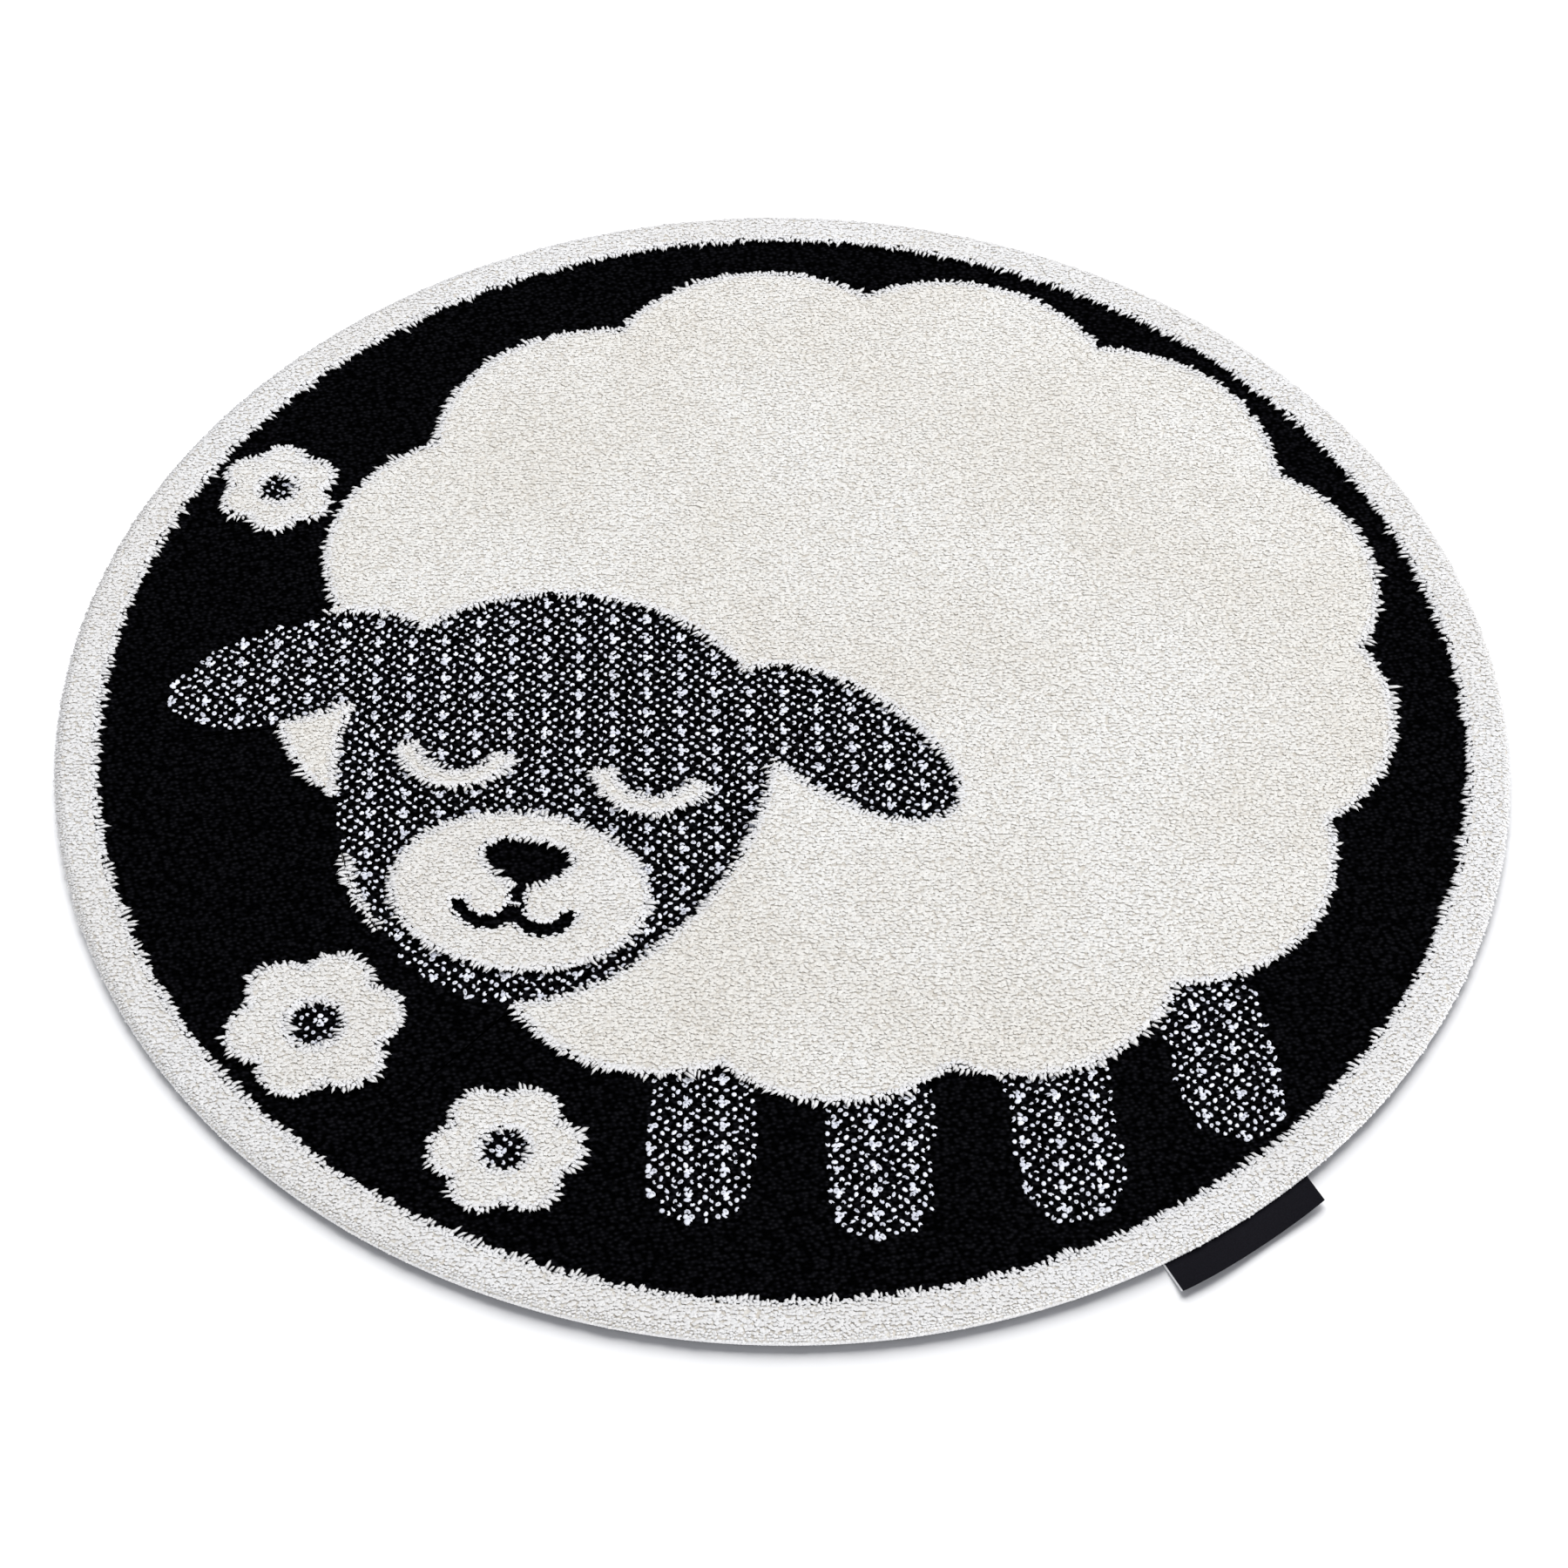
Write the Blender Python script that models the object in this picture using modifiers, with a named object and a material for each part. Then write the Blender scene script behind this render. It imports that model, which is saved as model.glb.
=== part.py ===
"""A round kids' rug, 1.2 m across, lying flat.

The rug is one woven cloth: a low loop pile ground with zones of higher cut pile standing on it,
in a plain border and in the generic motif of a resting lamb with three flowers. Its edge is
overlocked with yarn, and a bare ribbon label is sewn in under the edge.

Metres, +Z up. The origin is on the floor under the rug's middle, and +Y is the motif's up.
"""

from math import atan2, cos, hypot, pi, radians, sin

import bmesh
import bpy

# The rug's own sizes
RUG_RADIUS = 0.600
LOOP_HEIGHT = 0.0050  # backing with the low loop pile
PILE_HEIGHT = 0.0105  # backing with the high cut pile
BORDER_WIDTH = 0.0330  # cut pile border, with the overlocked edge
EDGE_ROUNDING = 0.0130  # how far in from the edge the pile begins to fall
INNER_ROUNDING = 0.0020  # the shoulder of the pile where it meets the low ground
TURN_STEPS = 120

# The overlocked edge
BINDING_WIDTH = 0.0045
BINDING_HEIGHT = 0.0050
GAP = 0.0003  # between two sewn pieces

# The ribbon label
LABEL_FROM = radians(-63.6)  # angles about the rug's middle
LABEL_TO = radians(-50.6)
LABEL_REACH = 0.0250  # out past the edge
LABEL_TUCK = 0.0120  # in under the edge
LABEL_THICKNESS = 0.0010

EDGE_RADIUS = RUG_RADIUS - BINDING_WIDTH - GAP
BORDER_INNER_RADIUS = RUG_RADIUS - BORDER_WIDTH
ZONE_SINK = 0.0020  # raised zones start this high, inside the backing
CUTTER_BOTTOM = 0.0010
CUTTER_TOP = 0.0200
OUTLINE_STEP = 0.0130  # about the length of an outline's facets

# The lamb's fleece: a ring of round lobes about its middle
FLEECE_MIDDLE = (0.056, 0.056)
FLEECE_LOBES = (
    # angle in degrees, distance from the middle, lobe radius
    (-12, 0.322, 0.136),
    (14, 0.322, 0.144),
    (42, 0.316, 0.150),
    (71, 0.316, 0.152),
    (101, 0.320, 0.152),
    (130, 0.324, 0.146),
    (158, 0.326, 0.142),
    (186, 0.340, 0.138),
    (214, 0.340, 0.134),
    (241, 0.330, 0.132),
    (266, 0.318, 0.132),
    (292, 0.318, 0.134),
    (320, 0.322, 0.138),
)

# The lamb's head leans to one side. Places on it are given in its own axes.
HEAD_MIDDLE = (-0.196, -0.084)
HEAD_TURN = radians(-11)
HEAD_SIZE = (0.176, 0.214)  # half width, half height
HEAD_TAPER = 0.17
EAR_PLACE = (0.232, 0.092)
EAR_SIZE = (0.112, 0.054)
EAR_DROOP = radians(30)
EYE_PLACE = (0.082, 0.040)
EYE_RADIUS = 0.042
EYE_LINE = 0.017
EYE_ARC = (radians(195), radians(345))
MUZZLE_PLACE = (0.0, -0.104)
MUZZLE_SIZE = (0.104, 0.078)
NOSE_PLACE = (0.0, -0.076)
NOSE_SIZE = (0.036, 0.024)
NOSE_TAPER = 0.3
MOUTH_PLACE = (0.023, -0.116)
MOUTH_RADIUS = 0.023
MOUTH_LINE = 0.011
MOUTH_ARC = (radians(190), radians(350))

FLOWERS = (
    # x, y, radius, turn in degrees
    (-0.372, -0.312, 0.066, 10),
    (-0.434, 0.258, 0.048, 25),
    (-0.222, -0.430, 0.056, 0),
)
PETALS = 6
PETAL_REACH = 0.62  # shares of the flower's radius
PETAL_RADIUS = 0.42
FLOWER_HEART = 0.34

CREAM = (0.78, 0.77, 0.71, 1.0)
WHITE = (0.80, 0.80, 0.79, 1.0)
BLACK = (0.012, 0.012, 0.015, 1.0)


def clear_scene():
    for item in list(bpy.data.objects):
        bpy.data.objects.remove(item, do_unlink=True)


def new_collection(name):
    made = bpy.data.collections.new(name)
    bpy.context.scene.collection.children.link(made)
    return made


def principled(name, colour, roughness):
    material = bpy.data.materials.new(name)
    material.use_nodes = True
    shader = material.node_tree.nodes["Principled BSDF"]
    shader.inputs["Base Color"].default_value = colour
    shader.inputs["Roughness"].default_value = roughness
    shader.inputs["Metallic"].default_value = 0.0
    return material


def arc_points(x, y, radius, start, end, count):
    """count + 1 points along an arc, both ends included."""
    angles = [start + (end - start) * k / count for k in range(count + 1)]
    return [(x + radius * cos(a), y + radius * sin(a)) for a in angles]


def outer_meeting(one, other):
    """The outer point where a lobe meets the next one of an anticlockwise ring."""
    (x0, y0, r0), (x1, y1, r1) = one, other
    dx, dy = x1 - x0, y1 - y0
    apart = hypot(dx, dy)
    along = (r0 * r0 - r1 * r1 + apart * apart) / (2 * apart)
    aside = (r0 * r0 - along * along) ** 0.5
    return (
        x0 + (along * dx + aside * dy) / apart,
        y0 + (along * dy - aside * dx) / apart,
    )


def lobed_outline(lobes, step):
    """The outline of a ring of overlapping round lobes, each (x, y, radius)."""
    points = []
    for k, (x, y, radius) in enumerate(lobes):
        first = outer_meeting(lobes[k - 1], lobes[k])
        last = outer_meeting(lobes[k], lobes[(k + 1) % len(lobes)])
        start = atan2(first[1] - y, first[0] - x)
        end = atan2(last[1] - y, last[0] - x)
        if end <= start:
            end += 2 * pi
        count = max(3, round((end - start) * radius / step))
        points += arc_points(x, y, radius, start, end, count)[:-1]
    return points


def fleece_outline():
    x, y = FLEECE_MIDDLE
    ring = [
        (x + reach * cos(radians(angle)), y + reach * sin(radians(angle)), radius)
        for angle, reach, radius in FLEECE_LOBES
    ]
    return lobed_outline(ring, OUTLINE_STEP)


def flower_outlines(x, y, radius, turn):
    """The petals, and the round heart left low in the middle."""
    angles = [radians(turn) + 2 * pi * k / PETALS for k in range(PETALS)]
    reach = PETAL_REACH * radius
    petals = [(x + reach * cos(a), y + reach * sin(a), PETAL_RADIUS * radius) for a in angles]
    heart = arc_points(x, y, FLOWER_HEART * radius, 0, 2 * pi, 16)[:-1]
    return [lobed_outline(petals, OUTLINE_STEP / 2), heart]


def on_head(u, v):
    """A place on the head, from the head's own axes."""
    c, s = cos(HEAD_TURN), sin(HEAD_TURN)
    return HEAD_MIDDLE[0] + u * c - v * s, HEAD_MIDDLE[1] + u * s + v * c


def egg_outline(middle, size, turn=0.0, taper=0.0, count=32):
    """An ellipse that is wider at its top by the taper."""
    points = []
    for k in range(count):
        a = 2 * pi * k / count
        u = size[0] * cos(a) * (1 + taper * sin(a))
        v = size[1] * sin(a)
        points.append(
            (
                middle[0] + u * cos(turn) - v * sin(turn),
                middle[1] + u * sin(turn) + v * cos(turn),
            )
        )
    return points


def band_outline(middle, radius, width, start, end, count=12):
    """A stretch of a flat ring."""
    outer = arc_points(*middle, radius + width / 2, start, end, count)
    inner = arc_points(*middle, radius - width / 2, end, start, count)
    return outer + inner


def flat_solid(name, outlines, bottom, top, collection):
    """A solid with vertical sides from closed outlines. An outline inside another is a hole."""
    curve = bpy.data.curves.new(name + "_outline", "CURVE")
    curve.dimensions = "2D"
    curve.fill_mode = "BOTH"
    curve.extrude = (top - bottom) / 2
    for outline in outlines:
        spline = curve.splines.new("POLY")
        spline.points.add(len(outline) - 1)
        for point, (x, y) in zip(spline.points, outline, strict=True):
            point.co = (x, y, 0.0, 1.0)
        spline.use_cyclic_u = True
    drawn = bpy.data.objects.new(name + "_outline", curve)
    bpy.context.scene.collection.objects.link(drawn)
    graph = bpy.context.evaluated_depsgraph_get()
    mesh = bpy.data.meshes.new_from_object(drawn.evaluated_get(graph))
    mesh.name = name
    bpy.data.objects.remove(drawn, do_unlink=True)

    shape = bmesh.new()
    shape.from_mesh(mesh)
    bmesh.ops.remove_doubles(shape, verts=shape.verts, dist=1e-5)
    bmesh.ops.dissolve_limit(
        shape, angle_limit=radians(0.5), verts=shape.verts, edges=shape.edges
    )
    bmesh.ops.recalc_face_normals(shape, faces=shape.faces)
    shape.to_mesh(mesh)
    shape.free()

    solid = bpy.data.objects.new(name, mesh)
    solid.location.z = (top + bottom) / 2
    collection.objects.link(solid)
    return solid


def as_tool(solid):
    solid.hide_render = True
    solid.display_type = "WIRE"
    return solid


def boolean(target, tool, operation):
    change = target.modifiers.new(f"{operation.lower()}_{tool.name}", "BOOLEAN")
    change.operation = operation
    change.object = tool
    change.solver = "EXACT"


def round_shoulders(solid):
    """The pile leans over a little along the edges of its zones."""
    bevel = solid.modifiers.new("shoulder", "BEVEL")
    bevel.width = INNER_ROUNDING
    bevel.segments = 2
    bevel.limit_method = "ANGLE"
    bevel.angle_limit = radians(60)


def turned(name, profile, closed, collection):
    """A profile of (radius, height) turned about the rug's middle."""
    mesh = bpy.data.meshes.new(name)
    edges = [(k, k + 1) for k in range(len(profile) - 1)]
    if closed:
        edges.append((len(profile) - 1, 0))
    mesh.from_pydata([(radius, 0.0, height) for radius, height in profile], edges, [])
    solid = bpy.data.objects.new(name, mesh)
    collection.objects.link(solid)
    screw = solid.modifiers.new("turn", "SCREW")
    screw.axis = "Z"
    screw.angle = 2 * pi
    screw.steps = TURN_STEPS
    screw.render_steps = TURN_STEPS
    screw.use_merge_vertices = True
    screw.merge_threshold = 0.00005
    screw.use_normal_calculate = False
    return solid


def quarter(radius, height, width, fall, count):
    """Points down a rounded shoulder that falls from a flat top to an upright side."""
    angles = [pi / 2 * k / count for k in range(count + 1)]
    return [(radius + width * sin(a), height - fall * (1 - cos(a))) for a in angles]


def rug_profile():
    """From the middle of the top, out over the border, down its side and back underneath."""
    inner = BORDER_INNER_RADIUS
    round_from = EDGE_RADIUS - EDGE_ROUNDING
    shoulder = quarter(inner + INNER_ROUNDING, PILE_HEIGHT, -INNER_ROUNDING, INNER_ROUNDING, 2)
    points = [(0.0, LOOP_HEIGHT), (inner, LOOP_HEIGHT)]
    points += shoulder[::-1]
    points += quarter(round_from, PILE_HEIGHT, EDGE_ROUNDING, PILE_HEIGHT - BINDING_HEIGHT, 4)
    points += [(EDGE_RADIUS, 0.0), (0.0, 0.0)]
    return points


def binding_profile():
    """A rounded band of yarn, flat underneath and where it meets the rug."""
    inner = RUG_RADIUS - BINDING_WIDTH
    foot = 0.0012
    top_width = BINDING_WIDTH - foot
    points = [(inner, BINDING_HEIGHT)]
    points += quarter(inner + foot, BINDING_HEIGHT, top_width, 0.6 * BINDING_HEIGHT, 4)
    points += [(RUG_RADIUS - foot / 2, 0.0), (inner, 0.0)]
    return points


def raised_zones(tools):
    """The cut pile zones of the motif, each a solid that joins the rug."""
    head = flat_solid(
        "head_ground",
        [egg_outline(HEAD_MIDDLE, HEAD_SIZE, HEAD_TURN, HEAD_TAPER, 48)],
        CUTTER_BOTTOM,
        CUTTER_TOP,
        tools,
    )
    ears = [
        flat_solid(
            f"ear_ground_{name}",
            [
                egg_outline(
                    on_head(side * EAR_PLACE[0], EAR_PLACE[1]),
                    EAR_SIZE,
                    HEAD_TURN - side * EAR_DROOP,
                )
            ],
            CUTTER_BOTTOM,
            CUTTER_TOP,
            tools,
        )
        for name, side in (("left", -1), ("right", 1))
    ]
    fleece = flat_solid("fleece", [fleece_outline()], ZONE_SINK, PILE_HEIGHT, tools)
    for low in (head, *ears):
        boolean(fleece, as_tool(low), "DIFFERENCE")

    muzzle_outline = egg_outline(on_head(*MUZZLE_PLACE), MUZZLE_SIZE, HEAD_TURN)
    muzzle = flat_solid("muzzle", [muzzle_outline], ZONE_SINK, PILE_HEIGHT, tools)
    marks = [egg_outline(on_head(*NOSE_PLACE), NOSE_SIZE, HEAD_TURN, NOSE_TAPER, 20)]
    for side in (-1, 1):
        start, end = (HEAD_TURN + angle for angle in MOUTH_ARC)
        middle = on_head(side * MOUTH_PLACE[0], MOUTH_PLACE[1])
        marks.append(band_outline(middle, MOUTH_RADIUS, MOUTH_LINE, start, end, 8))
    marks.append(
        [
            on_head(u, v)
            for u, v in (
                (-MOUTH_LINE / 2, MOUTH_PLACE[1]),
                (MOUTH_LINE / 2, MOUTH_PLACE[1]),
                (MOUTH_LINE / 2, NOSE_PLACE[1]),
                (-MOUTH_LINE / 2, NOSE_PLACE[1]),
            )
        ]
    )
    for k, outline in enumerate(marks):
        mark = flat_solid(f"muzzle_mark_{k}", [outline], CUTTER_BOTTOM, CUTTER_TOP, tools)
        boolean(muzzle, as_tool(mark), "DIFFERENCE")

    zones = [fleece, muzzle]
    for name, side in (("left", -1), ("right", 1)):
        start, end = (HEAD_TURN + angle for angle in EYE_ARC)
        middle = on_head(side * EYE_PLACE[0], EYE_PLACE[1])
        lid = band_outline(middle, EYE_RADIUS, EYE_LINE, start, end)
        zones.append(flat_solid(f"eye_{name}", [lid], ZONE_SINK, PILE_HEIGHT, tools))
    for k, flower in enumerate(FLOWERS):
        outlines = flower_outlines(*flower)
        zones.append(flat_solid(f"flower_{k}", outlines, ZONE_SINK, PILE_HEIGHT, tools))
    for zone in zones:
        round_shoulders(zone)
    return zones


def label_band(name, clearance, top, bottom, collection):
    """The label's own shape, or with a clearance the recess that it is sewn into."""
    inner = RUG_RADIUS - LABEL_TUCK - clearance
    outer = RUG_RADIUS + LABEL_REACH + clearance
    swing = clearance / RUG_RADIUS
    outline = band_outline(
        (0.0, 0.0), (inner + outer) / 2, outer - inner, LABEL_FROM - swing, LABEL_TO + swing
    )
    return flat_solid(name, [outline], bottom, top, collection)


def make_rug(parts, tools, recess):
    rug = turned("rug", rug_profile(), False, parts)
    for zone in raised_zones(tools):
        boolean(rug, as_tool(zone), "UNION")
    boolean(rug, recess, "DIFFERENCE")
    rug.data.materials.append(principled("cut_and_loop_pile", CREAM, 0.95))
    return rug


def make_binding(parts, recess):
    binding = turned("edge_binding", binding_profile(), True, parts)
    boolean(binding, recess, "DIFFERENCE")
    binding.data.materials.append(principled("overlock_yarn", WHITE, 0.85))
    return binding


def make_label(parts):
    label = label_band("label", 0.0, LABEL_THICKNESS, 0.0, parts)
    label.data.materials.append(principled("label_ribbon", BLACK, 0.45))
    return label


def main():
    clear_scene()
    parts = new_collection("round_kids_rug")
    tools = new_collection("shaping_tools")
    recess = as_tool(label_band("label_recess", GAP, LABEL_THICKNESS + GAP, -GAP, tools))
    make_rug(parts, tools, recess)
    make_binding(parts, recess)
    make_label(parts)


main()
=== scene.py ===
"""The looks of a round kids' rug that lies flat: cut pile tufts standing in a cream border, a
lamb's fleece and three flowers, speckled low loops on its head, ears and legs, a black loop pile
ground, an overlocked edge and a bare ribbon label. Lengths are in metres."""

from math import atan2, cos, hypot, pi, radians, sin, tan

import bmesh
import bpy
import numpy as np
from mathutils import Matrix, Vector


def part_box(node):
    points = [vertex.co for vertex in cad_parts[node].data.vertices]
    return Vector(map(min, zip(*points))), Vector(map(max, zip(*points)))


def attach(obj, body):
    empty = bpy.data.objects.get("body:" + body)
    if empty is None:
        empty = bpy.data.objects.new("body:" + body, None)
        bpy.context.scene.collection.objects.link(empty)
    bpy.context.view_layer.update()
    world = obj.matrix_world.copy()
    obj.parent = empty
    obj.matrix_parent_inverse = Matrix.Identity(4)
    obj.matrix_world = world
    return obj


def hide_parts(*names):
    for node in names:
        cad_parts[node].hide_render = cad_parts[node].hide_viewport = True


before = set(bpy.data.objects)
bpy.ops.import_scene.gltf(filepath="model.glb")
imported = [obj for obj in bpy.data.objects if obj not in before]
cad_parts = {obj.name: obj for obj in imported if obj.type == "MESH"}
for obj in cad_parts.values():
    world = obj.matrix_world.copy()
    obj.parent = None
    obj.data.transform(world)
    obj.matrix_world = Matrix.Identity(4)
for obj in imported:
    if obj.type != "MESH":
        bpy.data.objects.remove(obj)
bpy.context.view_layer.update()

MM = 0.001
SLACK = 0.1 * MM  # heights nearer than this are taken as one

# Sizes that the frame gives
RUG_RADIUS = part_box("edge_binding")[1][0]
EDGE_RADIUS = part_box("rug")[1][0]
PILE_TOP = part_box("rug")[1][2]
BINDING_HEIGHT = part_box("edge_binding")[1][2]
LABEL_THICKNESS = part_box("label")[1][2]
SEWING_GAP = 0.3 * MM  # between the rug and its binding

# The cloth and where its pile stands
BORDER_WIDTH = 33 * MM
GROUND_TOP = 5 * MM  # top of the low loops
ROOTS_BELOW = 0.95 * MM  # the pile's body, which shows between the tufts, below their tops
ROOTS_INSET = 3.2 * MM  # how far the body stands back from the edge of its zone
WALL_SLANT = 0.2  # least level part of the normal at a wall
PACKED_ROUNDING = 13 * MM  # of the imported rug's edge
RIM_FROM = EDGE_RADIUS - PACKED_ROUNDING
EDGE_ROUNDING = 9.5 * MM  # of the pile's own edge
PILE_REACH = 5.2 * MM  # how far the pile leans out over the binding
PILE_ENDS = EDGE_RADIUS + PILE_REACH
EDGE_DROP = 7.6 * MM  # how much lower the pile ends there
ROOT_HEIGHT = GROUND_TOP + 0.2 * MM
LOWEST = 0.3 * MM  # no tuft reaches below this

# The tufts. Pairs are the least and the most, unless their comment says otherwise.
ROW_PITCH = 2.85 * MM
TUFT_PITCH = 2.6 * MM  # along a row
TUFT_STRAY = 0.33  # how far a tuft is off its place in the rows, as a share of the pitch
RING_INSETS = (0.9 * MM, 2.5 * MM, 4.2 * MM, 6.0 * MM)  # rings of tufts, in from where the pile ends
RING_PITCH = 1.95 * MM
RING_STRAYS = (0.3, 0.25)  # along a ring as a share of the pitch, and across it in millimetres
TUFTS_MISSING = 0.04
WORN = 0.55  # half of the most millimetres by which a zone's edge is worn in or out
TUFT_MARGIN = 1.4 * MM  # no tuft stands nearer to the worn edge of its zone
TUFT_SIDES = 4
TUFT_RADIUS = 1.95 * MM
TUFT_SIZES = (0.86, 1.12)
TUFT_CORNERS = (0.82, 1.15)  # how far out a corner of it is, as a share of its radius
TUFT_SHAPE = (1.2, 0.9)  # its size along the rows and across them
TUFT_LENGTH = 3 * MM
TUFT_RISE = (0.1 * MM, 0.16 * MM)  # mean and spread of its tip's height over the pile's top
TUFT_CROWN = (0.2, 0.5)  # millimetres from its widest ring up to its tip
TIP_STRAY = 0.5  # millimetres
TUFT_LEAN = 0.45 * MM
TUFT_TILT = 0.09
LEAN_DEPTH = 9 * MM  # tufts this near the edge of their zone lean out of it
LEAN_OUT = (0.6, 2.2)  # by this many millimetres at the edge itself
LEAN_SHARES = (1.3, 0.8)  # more along the rows than across them
TILT_OUT = 0.4
ZONE_SINK = 1.4  # most millimetres by which a tuft is lower there
RIM_SHARE = 0.2  # edge share from which a tuft is on the rug's rim
RIM_SHRINK = 0.32  # how much smaller the tufts there are
RIM_SLANT = 3 * MM  # how much farther in their roots are
RIM_TILT = 0.8
MOST_TRIANGLES = 190_000  # in one piece of pile

# The locks, which are longer tufts along the edges of the zones. Pairs are as above.
LOCK_PITCH = 4.0 * MM
LOCK_SIDES = 4
LOCK_INSETS = (0.6 * MM, 2.8 * MM, 5.6 * MM)  # of their rows
LOCK_STRAY = 0.5  # millimetres
LOCKS_MISSING = 0.1
CLUMP = 4  # locks, about, that are alike in length
CLUMP_LENGTHS = (0.2, 1.8)
LOCK_LENGTHS = (0.55, 1.45)
LOCK_REACH = 3.6  # millimetres for a lock of length 1
REACH_SIDEWAYS = 2.3  # more millimetres where it leans left or right
REACH_AWAY = 0.8  # and where it leans away from the viewer
LOCK_SHARES = (1.5, 0.8)  # they lean more along the rows than across them
LOCK_TURN = 0.26
LOCK_HALF_WIDTH = 1.65 * MM
LOCK_HALF_HEIGHT = 1.3 * MM
LOCK_WIDTHS = (0.7, 1.25)
LOCK_TOPS = (-1.1, 0.4)  # millimetres over the pile's top
LOCK_DROPS = (0.4, 2.8)  # millimetres by which its tip hangs down
# share of the painted bluish-white side light on every lock
LOCK_EDGE_LIGHT = 0.6

# The picture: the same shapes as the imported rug's raised zones
FLEECE_MIDDLE = (0.056, 0.056)
FLEECE_LOBES = (
    # angle in degrees, distance from the middle, lobe radius
    (-12, 0.322, 0.136),
    (14, 0.322, 0.144),
    (42, 0.316, 0.150),
    (71, 0.316, 0.152),
    (101, 0.320, 0.152),
    (130, 0.324, 0.146),
    (158, 0.326, 0.142),
    (186, 0.340, 0.138),
    (214, 0.340, 0.134),
    (241, 0.330, 0.132),
    (266, 0.318, 0.132),
    (292, 0.318, 0.134),
    (320, 0.322, 0.138),
)
HEAD_MIDDLE = (-0.196, -0.084)
HEAD_TURN = radians(-11)
HEAD_SIZE = (0.176, 0.214)  # half width, half height
HEAD_TAPER = 0.17
EAR_PLACE = (0.232, 0.092)
EAR_SIZE = (0.112, 0.054)
EAR_DROOP = radians(30)
EYE_PLACE = (0.082, 0.040)
EYE_RADIUS = 0.042
EYE_LINE = 0.017
EYE_ARC = (radians(195), radians(345))
MUZZLE_PLACE = (0.0, -0.104)
MUZZLE_SIZE = (0.104, 0.078)
NOSE_PLACE = (0.0, -0.076)
NOSE_SIZE = (0.036, 0.024)
NOSE_TAPER = 0.3
MOUTH_PLACE = (0.023, -0.116)
MOUTH_RADIUS = 0.023
MOUTH_LINE = 0.011
MOUTH_ARC = (radians(190), radians(350))
FLOWERS = (
    # x, y, radius, turn in degrees
    (-0.372, -0.312, 0.066, 10),
    (-0.434, 0.258, 0.048, 25),
    (-0.222, -0.430, 0.056, 0),
)
PETALS = 6
PETAL_REACH = 0.62  # shares of the flower's radius
PETAL_RADIUS = 0.42
FLOWER_HEART = 0.34
LEGS = (
    # from x, y to x, y
    (-0.064, -0.300, -0.076, -0.456),
    (0.066, -0.330, 0.060, -0.474),
    (0.196, -0.330, 0.206, -0.462),
    (0.316, -0.260, 0.334, -0.392),
)
LEG_WIDTH = 0.084

# The speckle: white loops on black, a repeat of one trefoil and chains of single loops
REPEAT = (28.25 * MM, 20.45 * MM)
REPEAT_LOOPS = (
    # x and y in millimetres from the middle of the cluster, relative size
    (-0.9, 4.4, 1.12),
    (-1.2, 0.3, 1.1),
    (3.1, 0.3, 1.15),
    (0.8, -1.4, 1.1),
    (-0.7, -4.0, 1.12),
    (-6.1, 0.4, 0.98),
    (3.2, 10.7, 0.9),
    (8.7, -6.8, 0.9),
    (8.0, 6.7, 0.95),
    (13.4, -3.4, 0.9),
    (13.2, 3.2, 0.9),
    (18.0, -6.8, 0.95),
    (17.8, 6.6, 0.85),
    (22.6, -9.7, 0.95),
)
LOOP_RADIUS = 2.1 * MM
LOOP_FOOT = GROUND_TOP - 0.5 * MM
LOOP_RISE = 1.0 * MM
LOOP_RISES = (0.75, 1.25)  # least and most, as shares of that
LOOP_SIDES = 8
LOOP_WOBBLE = (0.62, 1.38)  # least and most at a corner, as shares of the radius
LOOP_STRETCH = (0.85, 1.35)  # least and most
LOOP_STRAY = 0.4 * MM
OPEN_LOOPS = 0.4  # share of loops whose dark middle shows
NOTCHED_LOOPS = 0.55  # share of loops with a nick in their side
NOTCH = 0.15  # what the nick leaves of the loop's radius there
SPECKLE_MARGIN = 1.2 * MM  # no loop is nearer to the edge of its zone

# The black loops
BLACK_PITCHES = (4.4 * MM, 3.3 * MM)  # along a row and from row to row
BLACK_SLANT = radians(-12)

# The overlocked edge
STITCH_PITCH = 2.8 * MM
STITCH_STEPS = 2  # rings of points to a stitch
STITCH_SWELL = 0.09
STITCH_SLANT = 1.2  # of half a stitch, from one side of the edge to the other
SECTION_TURNS = (0, 50, 95, 150, 250)  # degrees about the binding's section, from outside
BINDING_CLEAR = 0.05 * MM  # of the floor

# The label
LABEL_FROM = radians(-63.5)
LABEL_TO = radians(-50.4)
LABEL_WAY = radians(-63.8)  # both its ends run this way
LABEL_STEPS = (40, 10)
LABEL_REACH = 24.4 * MM
LABEL_NARROWS = 1.7 * MM  # from its left end to its right
LABEL_TUCK = 12 * MM
LABEL_CLEAR = 0.1 * MM  # of the floor
LABEL_LIFT = 3.5 * MM  # of its free side
LABEL_FRAY = 1.2 * MM  # the white reverse that shows at its left end

# The colours of the yarns and the ribbon
WHITE = (1.0, 1.0, 1.0)
CREAM_PALE = (0.79, 0.785, 0.765)
CREAM = (0.76, 0.75, 0.725)
CREAM_WARM = (0.70, 0.68, 0.64)
CREAM_PATCH = (0.955, 0.94, 0.915)  # dulls broad soft patches
# painted side light: the bluish white of tufts and locks at the edges of the zones
PAINTED_EDGE_LIGHT = (0.73, 0.735, 0.76)
PAINTED_FOOT_SHADE = (0.70, 0.67, 0.62)  # painted shade, darkens the foot of a tuft
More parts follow.
